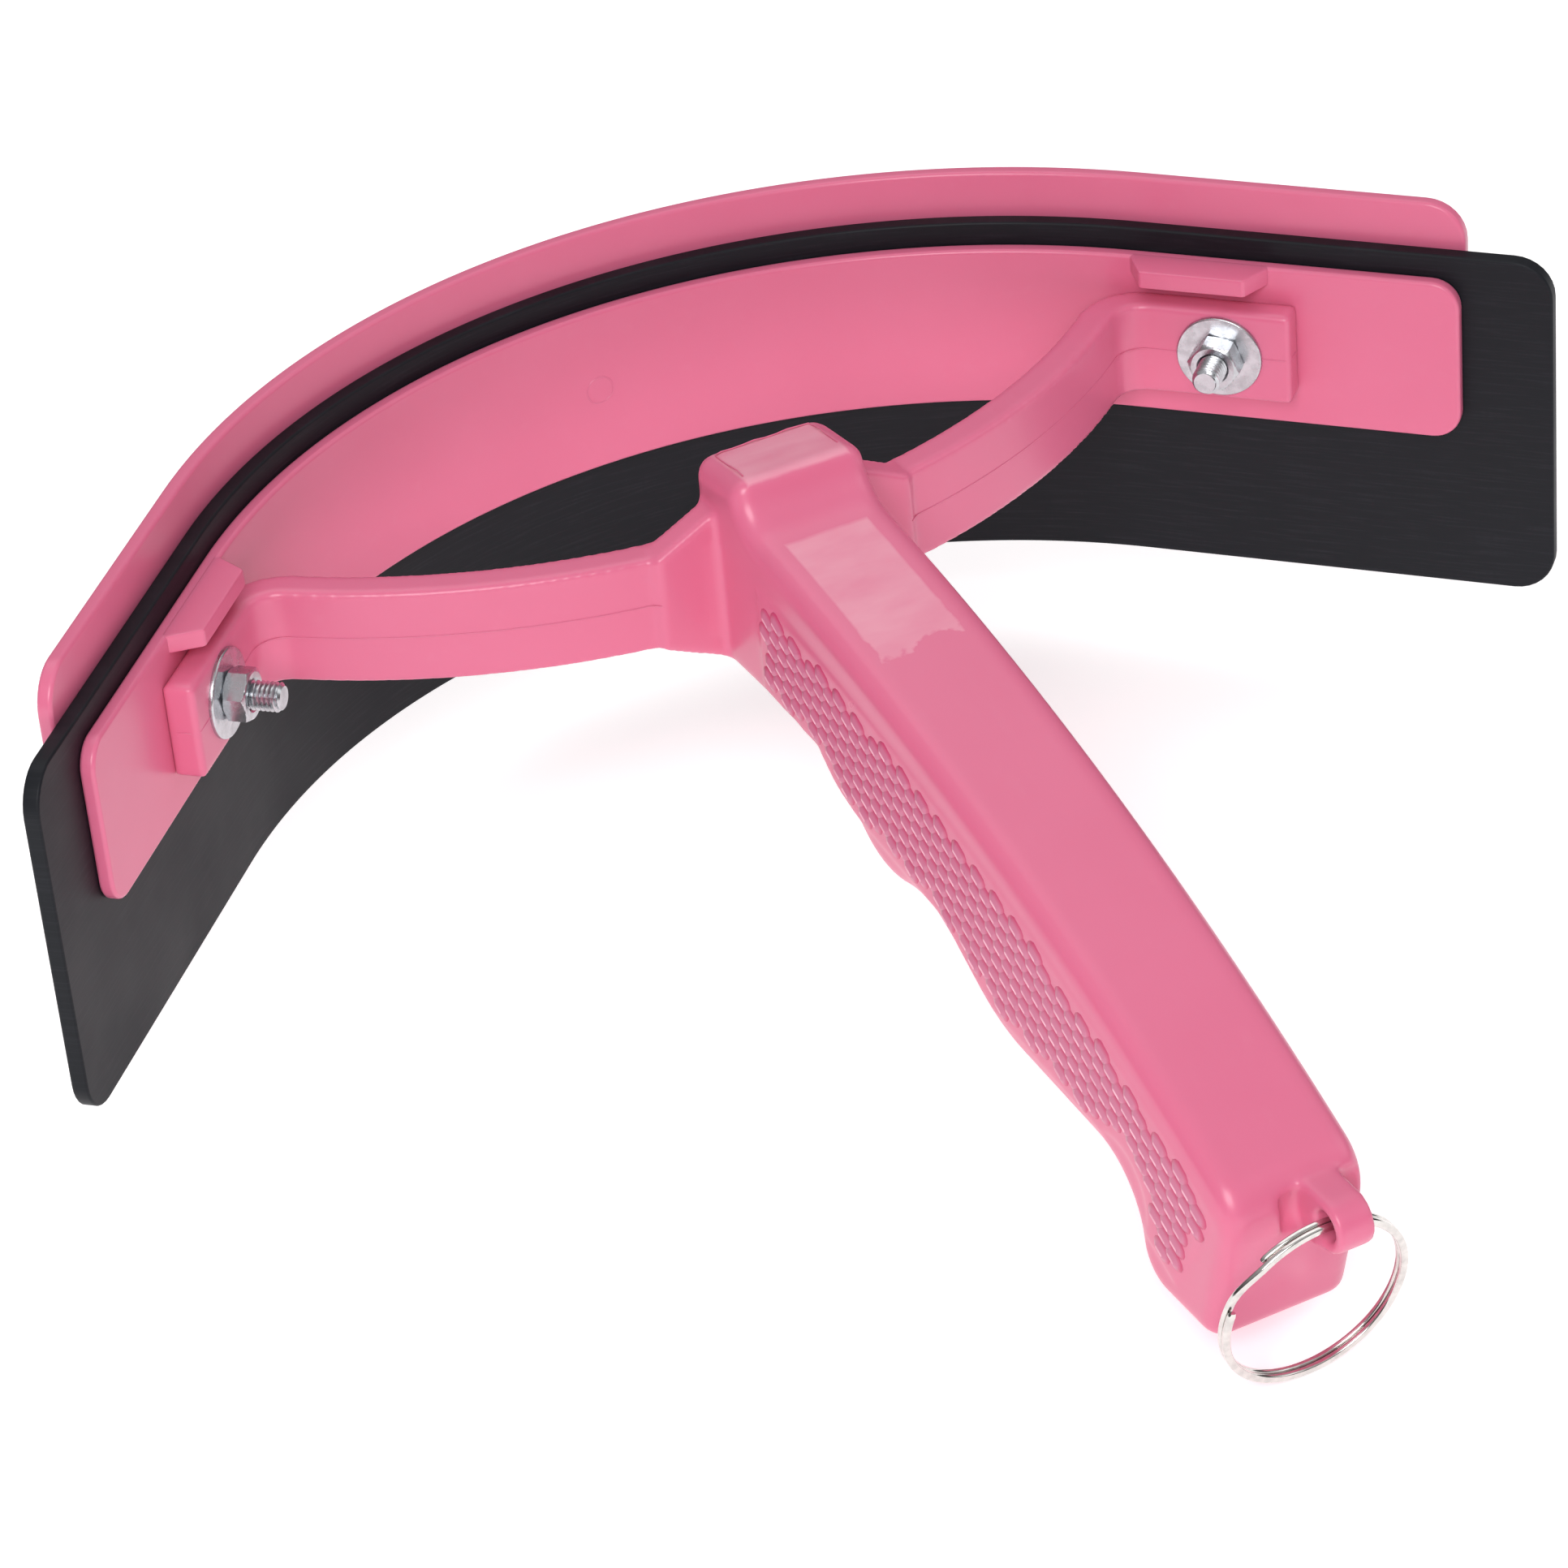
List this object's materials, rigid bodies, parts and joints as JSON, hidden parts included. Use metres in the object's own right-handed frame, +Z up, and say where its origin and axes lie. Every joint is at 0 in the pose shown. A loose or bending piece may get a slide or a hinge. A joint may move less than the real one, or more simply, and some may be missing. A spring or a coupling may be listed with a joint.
{
  "type": "sweat scraper",
  "caption": "Handled sweat scraper: bowed rubber blade clamped between two curved plastic plates, two-armed moulded grip with finger hollows, bolts and a hanging split ring.",
  "frame": {"origin": "middle of the rubber blade's scraping edge, half way through its thickness", "axes": "+Z up the blade from its scraping edge, +X along the blade, the grip reaches out towards -Y"},
  "size_m": [0.2782, 0.2416, 0.0903],
  "materials": {
    "pink_plastic": "glossy injection-moulded polypropylene",
    "black_rubber": "matt, faintly brushed along its length",
    "zinc_steel": "bright zinc plate",
    "ring_steel": "bright nickel plate"
  },
  "bodies": {
    "scraper": {"back_plate": "pink_plastic", "rubber_blade": "black_rubber", "front_plate": "pink_plastic", "handle": "pink_plastic", "left_bolt": "zinc_steel", "left_washer": "zinc_steel", "left_nut": "zinc_steel", "right_bolt": "zinc_steel", "right_washer": "zinc_steel", "right_nut": "zinc_steel"},
    "ring": {"split_ring": "ring_steel"}
  },
  "joints": [
    {"name": "ring_swing", "type": "hinge", "parent": "scraper", "child": "ring", "pos_m": [0.004, -0.2332, 0.0126], "axis": [1, 0, 0], "range_deg": [-240, 10]}
  ]
}
